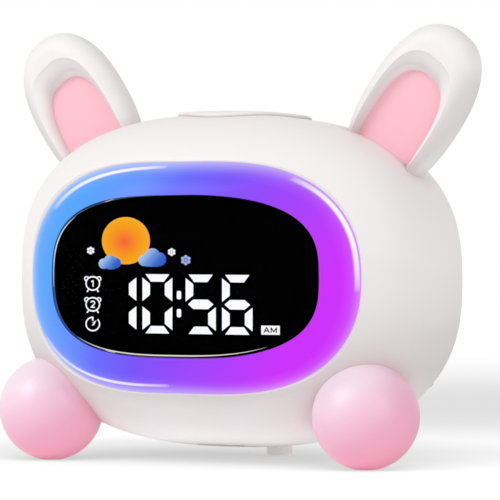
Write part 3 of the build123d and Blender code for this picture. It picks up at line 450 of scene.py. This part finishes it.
# Lit film: an even cool white, and a pale blue that is dimmer
white_print = glowing("lit_white_print", "#FFFFFF", "#FAFBFF", 1.0, 4.0)
pale_blue_print = glowing("lit_pale_blue_print", "#9DB2E4", "#A6B9E8", 1.0, 2.0)
# Opaque ink: no light comes through it
black_print = glowing("black_letter_print", "#000000", "#000000", 0.0, 4.0)
# A painted highlight on the window's rim: a glowing warm white line where the lamps would glint
painted_rim_glint = glowing("painted_window_glint", "#EFEBE2", "#E6E2DA", 0.85, 5.0)


# ------------------------------------------------------------------ making thin pieces
def add_piece(name, points, faces, material):
    """A closed mesh, from points in millimetres, that rides on the casing."""
    mesh = bpy.data.meshes.new(name)
    mesh.from_pydata([[value * MM for value in point] for point in points], [], faces)
    shape = bmesh.new()
    shape.from_mesh(mesh)
    bmesh.ops.remove_doubles(shape, verts=shape.verts, dist=1e-7)
    bmesh.ops.recalc_face_normals(shape, faces=shape.faces)
    shape.to_mesh(mesh)
    shape.free()
    mesh.materials.append(material)
    piece = bpy.data.objects.new(name, mesh)
    bpy.context.scene.collection.objects.link(piece)
    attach(piece, "casing")


def film_faces(layer):
    """Where a film in this layer has its front and its back."""
    front = DISPLAY_Y - (layer + 1) * FILM_PITCH
    return front, front + FILM_THICKNESS


def plate(name, outline, layer, material):
    """A thin printed shape on the display, from its outline seen from the front."""
    count = len(outline)
    points = [(x, y, z) for y in film_faces(layer) for x, z in outline]
    walls = [(i, (i + 1) % count, count + (i + 1) % count, count + i) for i in range(count)]
    faces = [tuple(range(count)), tuple(range(2 * count - 1, count - 1, -1)), *walls]
    add_piece(name, points, faces, material)


def stroke(name, path, width, layer, material, closed=False):
    """A printed line of even width along a path seen from the front."""
    left, right = [], []
    count = len(path)
    for i, (x, z) in enumerate(path):
        before = path[i - 1] if closed or i > 0 else path[i]
        after = path[(i + 1) % count] if closed or i < count - 1 else path[i]
        along = Vector((after[0] - before[0], after[1] - before[1])).normalized() * width / 2
        left.append((x - along.y, z + along.x))
        right.append((x + along.y, z - along.x))
    if not closed:
        plate(name, left + right[::-1], layer, material)
        return
    front, back = film_faces(layer)
    loops = ((front, left), (front, right), (back, right), (back, left))
    points = [(x, y, z) for y, side in loops for x, z in side]
    faces = [(a * count + i, a * count + (i + 1) % count, b * count + (i + 1) % count, b * count + i)
             for a, b in ((0, 1), (1, 2), (2, 3), (3, 0)) for i in range(count)]
    add_piece(name, points, faces, material)


def arc(centre, radius, start=0.0, end=360.0, steps=48):
    """Points round a centre, stretched sideways as the display's symbols are."""
    stops = range(steps + (end - start < 360))
    turns = [math.radians(start + (end - start) * step / steps) for step in stops]
    return [(centre[0] + radius * STRETCH * math.cos(turn), centre[1] + radius * math.sin(turn))
            for turn in turns]


# ------------------------------------------------------------------ the picture: sun, clouds, snow
CLOUD_STEPS = 120
LEAST_REACH = 0.3  # keeps a cloud's outline off its own centre
DOT_SHARE = 0.26  # a snow sign's middle dot, and its petals and their place, as shares of its radius
PETAL_SHARE = 0.31
PETAL_PLACE = 0.64


def cloud_outline(cloud):
    """The joined outline of a cloud's round lobes, seen from its centre."""
    x, z, lobes = cloud
    outline = []
    for step in range(CLOUD_STEPS):
        turn = math.tau * step / CLOUD_STEPS
        ray = Vector((math.cos(turn), math.sin(turn)))
        reach = LEAST_REACH
        for lobe_x, lobe_z, radius in lobes:
            ahead = ray.x * lobe_x + ray.y * lobe_z
            aside = lobe_x**2 + lobe_z**2 - ahead**2
            if aside < radius**2:
                reach = max(reach, ahead + math.sqrt(radius**2 - aside))
        outline.append((x + ray.x * reach * STRETCH, z + ray.y * reach))
    return outline


def flake(name, centre, radius, material):
    """A snow sign of six round petals about a middle dot."""
    plate(f"{name}_middle", arc(centre, radius * DOT_SHARE, steps=16), 0, material)
    for number in range(6):
        turn = math.radians(30 + 60 * number)
        petal = (centre[0] + PETAL_PLACE * radius * STRETCH * math.cos(turn),
                 centre[1] + PETAL_PLACE * radius * math.sin(turn))
        plate(f"{name}_petal_{number}", arc(petal, radius * PETAL_SHARE, steps=16), 0, material)


plate("sun", arc((SUN_X, SUN_Z), SUN_RADIUS, steps=96), 0, sun_print())
plate("large_cloud", cloud_outline(LARGE_CLOUD), 1,
      cloud_print("lit_large_cloud_print", LARGE_CLOUD, LARGE_CLOUD_FADE))
plate("small_cloud", cloud_outline(SMALL_CLOUD), 1,
      cloud_print("lit_small_cloud_print", SMALL_CLOUD, SMALL_CLOUD_FADE))
for colour, x, z, radius in FLAKES:
    flake(f"flake_{colour}", (x, z), radius, pale_blue_print if colour == "pale_blue" else white_print)

# ------------------------------------------------------------------ the signs: alarms, timer, AM
# Each figure and letter is the strokes of a pen, as x and z from its centre
FIGURES = {
    "1": [[(-0.5, 0.5), (0.1, 0.8)], [(0.1, 1.0), (0.1, -1.0)]],
    "2": [arc((0, 0.42), 0.56, 170, -35, steps=14) + [(-0.55, -0.85)],
          [(-0.72, -0.85), (0.72, -0.85)]],
}
LETTERS = {
    "A": [[(-0.95, -0.78), (0.05, 0.82)], [(-0.05, 0.82), (0.95, -0.78)],
          [(-0.5, -0.22), (0.5, -0.22)]],
    "M": [[(-0.9, -0.78), (-0.9, 0.78)], [(-0.95, 0.78), (0.05, -0.55)],
          [(-0.05, -0.55), (0.95, 0.78)], [(0.9, 0.78), (0.9, -0.78)]],
}
FIGURE_STROKE = 0.38
LETTER_STROKE = 0.34
LETTER_PLACES = {"A": -1.28, "M": 1.12}  # from the middle of the AM box
# An alarm sign's bells and feet are measured from the middle of its dial
BELL_OUT, BELL_UP = 2.14, 1.43
BELL_RADIUS, BELL_STROKE = 0.6, 0.36
BELL_LEAN, BELL_SWEEP = 45, 125  # degrees from upright, and each way from there
ANKLE_OUT, ANKLE_UP = 1.42, -1.74
TOE_OUT, TOE_UP = 1.98, -2.57
SIGN_FOOT_STROKE = 0.44
TICK_TOP, TICK_BOTTOM, TICK_STROKE = 2.2, 1.0, 0.5
POINTER_TIP = (1.25, 1.1)
POINTER_HUB = 0.48


def letter(name, parts, centre, width, layer, material):
    """A letter or figure drawn with strokes about its centre."""
    for number, path in enumerate(parts):
        placed = [(centre[0] + x, centre[1] + z) for x, z in path]
        stroke(f"{name}_{number}", placed, width, layer, material)


def alarm_sign(number, height):
    """A small alarm clock sign: its dial, two bells, two feet and its number."""
    middle = (DIAL_X, height)
    stroke(f"alarm_{number}_dial", arc(middle, DIAL_RADIUS), DIAL_STROKE, 0, white_print, closed=True)
    for side, part in ((-1, "left"), (1, "right")):
        outward = 90 - side * BELL_LEAN
        bell = arc((DIAL_X + side * BELL_OUT, height + BELL_UP), BELL_RADIUS, outward - BELL_SWEEP,
                   outward + BELL_SWEEP, steps=18)
        foot = [(DIAL_X + side * ANKLE_OUT, height + ANKLE_UP),
                (DIAL_X + side * TOE_OUT, height + TOE_UP)]
        stroke(f"alarm_{number}_bell_{part}", bell, BELL_STROKE, 0, white_print)
        stroke(f"alarm_{number}_foot_{part}", foot, SIGN_FOOT_STROKE, 0, white_print)
    letter(f"alarm_{number}_figure", FIGURES[number], middle, FIGURE_STROKE, 0, white_print)


def timer_sign():
    """A timer sign: a ring that is open at its upper right, a tick at its top and a pointer."""
    middle = (DIAL_X, TIMER_HEIGHT)
    tick = [(DIAL_X, TIMER_HEIGHT + TICK_TOP), (DIAL_X, TIMER_HEIGHT + TICK_BOTTOM)]
    tip = (DIAL_X + POINTER_TIP[0], TIMER_HEIGHT + POINTER_TIP[1])
    hub = arc(middle, POINTER_HUB, -130, 130, steps=16)
    stroke("timer_dial", arc(middle, DIAL_RADIUS, 90, 405), DIAL_STROKE, 0, white_print)
    stroke("timer_tick", tick, TICK_STROKE, 0, white_print)
    plate("timer_pointer", [tip, *reversed(hub)], 0, white_print)


def am_sign():
    """AM in black letters on a small lit box."""
    corners = [(AM_LEFT, AM_BOTTOM), (AM_RIGHT, AM_BOTTOM), (AM_RIGHT, AM_TOP), (AM_LEFT, AM_TOP)]
    plate("am_box", corners, 0, white_print)
    middle_x, middle_z = (AM_LEFT + AM_RIGHT) / 2, (AM_BOTTOM + AM_TOP) / 2
    for sign, aside in LETTER_PLACES.items():
        letter(f"am_{sign}", LETTERS[sign], (middle_x + aside, middle_z), LETTER_STROKE, 1, black_print)


for number, height in ALARM_HEIGHTS.items():
    alarm_sign(number, height)
timer_sign()
am_sign()

# ------------------------------------------------------------------ the painted glint on the window's rim
GLINT_STEPS, GLINT_SIDES = 72, 8
GLINT_FLATNESS = 0.25  # how thick a glint is for its width
GLINT_TAPER = 0.6
GLINT_END = 0.02  # keeps its ends from closing to a point


def window_glint(name, start, end, inset, half_width):
    """A thin tapered glowing line, a painted highlight, that follows the window's edge on its curved
    face.
    """
    points = []
    for step in range(GLINT_STEPS + 1):
        share = step / GLINT_STEPS
        turn = math.radians(start + (end - start) * share)
        cosine, sine = math.cos(turn), math.sin(turn)
        power = 2 / WINDOW_ROUNDNESS
        x = (WINDOW_HALF_WIDTH - inset) * math.copysign(abs(cosine)**power, cosine)
        z = (WINDOW_HALF_HEIGHT - inset) * math.copysign(abs(sine)**power, sine)
        y = DOME_FRONT_Y + DOME_RADIUS - math.sqrt(DOME_RADIUS**2 - x**2 - z**2)
        held = min(max(share, GLINT_END), 1 - GLINT_END)
        radius = half_width * math.sin(math.pi * held)**GLINT_TAPER
        outward = Vector((x, z)).normalized()
        for side in range(GLINT_SIDES):
            around = math.tau * side / GLINT_SIDES
            across = radius * math.cos(around)
            points.append((x + across * outward.x, y + GLINT_FLATNESS * radius * math.sin(around),
                           WINDOW_MIDDLE + z + across * outward.y))
    faces = []
    for step in range(GLINT_STEPS):
        here, there = step * GLINT_SIDES, (step + 1) * GLINT_SIDES
        for side in range(GLINT_SIDES):
            ahead = (side + 1) % GLINT_SIDES
            faces.append((here + side, here + ahead, there + ahead, there + side))
    last = GLINT_STEPS * GLINT_SIDES
    faces += [tuple(range(GLINT_SIDES)), tuple(range(last, last + GLINT_SIDES))]
    add_piece(name, points, faces, painted_rim_glint)


window_glint("window_glint_left", 137, 184, inset=1.0, half_width=0.2)
window_glint("window_glint_bottom", 226, 304, inset=0.9, half_width=0.22)

# ------------------------------------------------------------------ stage, in metres
FLOOR_REACH = 1.6
FLOOR_DROP = 0.0002  # keeps the floor just under the feet
SHADE_REACH = 0.1
SHADE_LEAN = (0.43, -0.81, 0.4)  # the shade falls away from the key light
SHADE_DARKEST = 0.4  # the share of the paper's white that is left under the clock
LIT_POINT = (0, 0, 0.06)
VIEW_AZIMUTH = 28.0  # in degrees, as its elevation is
VIEW_ELEVATION = 0.55
VIEW_POINT = (0, 9.3, 56.0)  # in millimetres, as the camera's place is
VIEW_ASIDE = -1.40
VIEW_RISE = 8.54
VIEW_DISTANCE = 1240.26
FOCAL_LENGTH = 4006.03  # in pixels of an image that is IMAGE_WIDTH pixels wide
IMAGE_WIDTH = 500
SENSOR_WIDTH = 36
WORLD_ON_CLOCK = 0.42  # the level of the world's light on the clock, and of its white to the eye
WORLD_TO_EYE = 1.0


def area_light(name, place, size, power):
    """A soft square lamp at a place, turned to the clock."""
    lamp = bpy.data.lights.new(name, "AREA")
    lamp.size = size
    lamp.energy = power
    holder = bpy.data.objects.new(name, lamp)
    holder.location = place
    holder.rotation_mode = "QUATERNION"
    holder.rotation_quaternion = (Vector(LIT_POINT) - Vector(place)).to_track_quat("-Z", "Y")
    bpy.context.scene.collection.objects.link(holder)


def paper_sweep():
    """Matt white paper, pale to the clock, which it also lights faintly from below with a glow.

    To the eye it is white, with a painted grey shadow band behind the clock and painted shade under it.
    """
    made = bpy.data.materials.new("white_paper_sweep")
    made.use_nodes = True
    tree = made.node_tree
    tree.nodes.clear()
    place = add_node(tree, "ShaderNodeTexCoord").outputs["Object"]
    laid = add_node(tree, "ShaderNodeMapping", {"Vector": place,
                                                "Rotation": (0, 0, math.radians(VIEW_AZIMUTH))},
                    vector_type="TEXTURE")
    aside, away, _ = add_node(tree, "ShaderNodeSeparateXYZ", {0: laid.outputs[0]}).outputs
    # Painted shadow: a soft grey band behind the clock and to its right
    band = add_node(tree, "ShaderNodeValToRGB", {"Fac": away},
                    stops=((0.08, "#FFFFFF"), (0.14, "#F5F5F5"), (0.22, "#E6E6E6"),
                           (0.31, "#E0E0E0"), (0.41, "#E1E1E1"), (0.52, "#E7E7E7"),
                           (0.65, "#F4F4F4"), (0.88, "#FFFFFF")))
    share = add_node(tree, "ShaderNodeMapRange", {"Value": aside, "From Min": -0.02,
                                                  "From Max": 0.04}, interpolation_type="SMOOTHSTEP")
    behind = add_node(tree, "ShaderNodeMix", {"Factor": share.outputs["Result"],
                                             "A": paint("#FFFFFF"),
                                             "B": band.outputs["Color"]}, data_type="RGBA")
    # Painted shade under the clock, from ambient occlusion leaned toward the key light
    lean = add_node(tree, "ShaderNodeCombineXYZ", {0: SHADE_LEAN[0], 1: SHADE_LEAN[1],
                                                   2: SHADE_LEAN[2]})
    hidden = add_node(tree, "ShaderNodeAmbientOcclusion", {"Distance": SHADE_REACH,
                                                           "Normal": lean.outputs[0]}, samples=16)
    contact = add_node(tree, "ShaderNodeMapRange", {"Value": hidden.outputs["AO"],
                                                    "From Min": 0.1, "From Max": 0.94,
                                                    "To Min": SHADE_DARKEST, "To Max": 1.0})
    eye = add_node(tree, "ShaderNodeEmission", {"Color": behind.outputs["Result"],
                                                "Strength": contact.outputs["Result"]})
    matt = add_node(tree, "ShaderNodeBsdfDiffuse", {"Color": paint("#F0F0F0")})
    lift = add_node(tree, "ShaderNodeEmission", {"Color": paint("#FFFFFF"), "Strength": 0.24})
    table = add_node(tree, "ShaderNodeAddShader", {0: matt.outputs[0], 1: lift.outputs[0]})
    seen = add_node(tree, "ShaderNodeLightPath").outputs["Is Camera Ray"]
    both = add_node(tree, "ShaderNodeMixShader", {0: seen, 1: table.outputs[0], 2: eye.outputs[0]})
    add_node(tree, "ShaderNodeOutputMaterial", {"Surface": both.outputs[0]})
    return made


def studio_floor():
    """The paper under and behind the clock."""
    mesh = bpy.data.meshes.new("floor")
    corners = [(-FLOOR_REACH, -FLOOR_REACH, 0), (FLOOR_REACH, -FLOOR_REACH, 0),
               (FLOOR_REACH, FLOOR_REACH, 0), (-FLOOR_REACH, FLOOR_REACH, 0)]
    mesh.from_pydata(corners, [], [(0, 1, 2, 3)])
    mesh.materials.append(paper_sweep())
    floor = bpy.data.objects.new("floor", mesh)
    floor.location.z = -FLOOR_DROP
    bpy.context.scene.collection.objects.link(floor)


def studio_world():
    """White to the eye and in reflections, and a soft level of light on the clock."""
    world = bpy.data.worlds.new("studio")
    bpy.context.scene.world = world
    world.use_nodes = True
    tree = world.node_tree
    tree.nodes.clear()
    path = add_node(tree, "ShaderNodeLightPath")
    sharp = add_node(tree, "ShaderNodeMath", {0: path.outputs["Is Camera Ray"],
                                              1: path.outputs["Is Glossy Ray"]}, operation="MAXIMUM")
    clear = add_node(tree, "ShaderNodeMath", {0: sharp.outputs[0],
                                              1: path.outputs["Is Transmission Ray"]},
                     operation="MAXIMUM")
    strength = add_node(tree, "ShaderNodeMapRange", {"Value": clear.outputs[0],
                                                     "To Min": WORLD_ON_CLOCK,
                                                     "To Max": WORLD_TO_EYE})
    sky = add_node(tree, "ShaderNodeBackground", {"Color": paint("#FFFFFF"),
                                                  "Strength": strength.outputs["Result"]})
    add_node(tree, "ShaderNodeOutputWorld", {"Surface": sky.outputs[0]})


def add_camera():
    """A far, long-lensed camera at a three-quarter view, almost level with the display."""
    azimuth, elevation = math.radians(VIEW_AZIMUTH), math.radians(VIEW_ELEVATION)
    back = Vector((math.sin(azimuth) * math.cos(elevation), -math.cos(azimuth) * math.cos(elevation),
                   math.sin(elevation)))
    right = Vector((math.cos(azimuth), math.sin(azimuth), 0))
    up = right.cross(-back)
    place = Vector(VIEW_POINT) + right * VIEW_ASIDE + up * VIEW_RISE + back * VIEW_DISTANCE
    camera = bpy.data.objects.new("camera", bpy.data.cameras.new("camera"))
    camera.location = place * MM
    camera.rotation_mode = "QUATERNION"
    camera.rotation_quaternion = Matrix((right, up, back)).transposed().to_quaternion()
    camera.data.lens = FOCAL_LENGTH * SENSOR_WIDTH / IMAGE_WIDTH
    camera.data.clip_start = 0.1
    camera.data.clip_end = 20
    bpy.context.scene.collection.objects.link(camera)
    bpy.context.scene.camera = camera


studio_floor()
studio_world()
add_camera()
area_light("key", (-0.65, -0.85, 0.85), size=0.7, power=7.4)
area_light("fill", (1.0, -0.5, 0.4), size=0.8, power=3.4)
bpy.context.scene.view_settings.view_transform = "Standard"
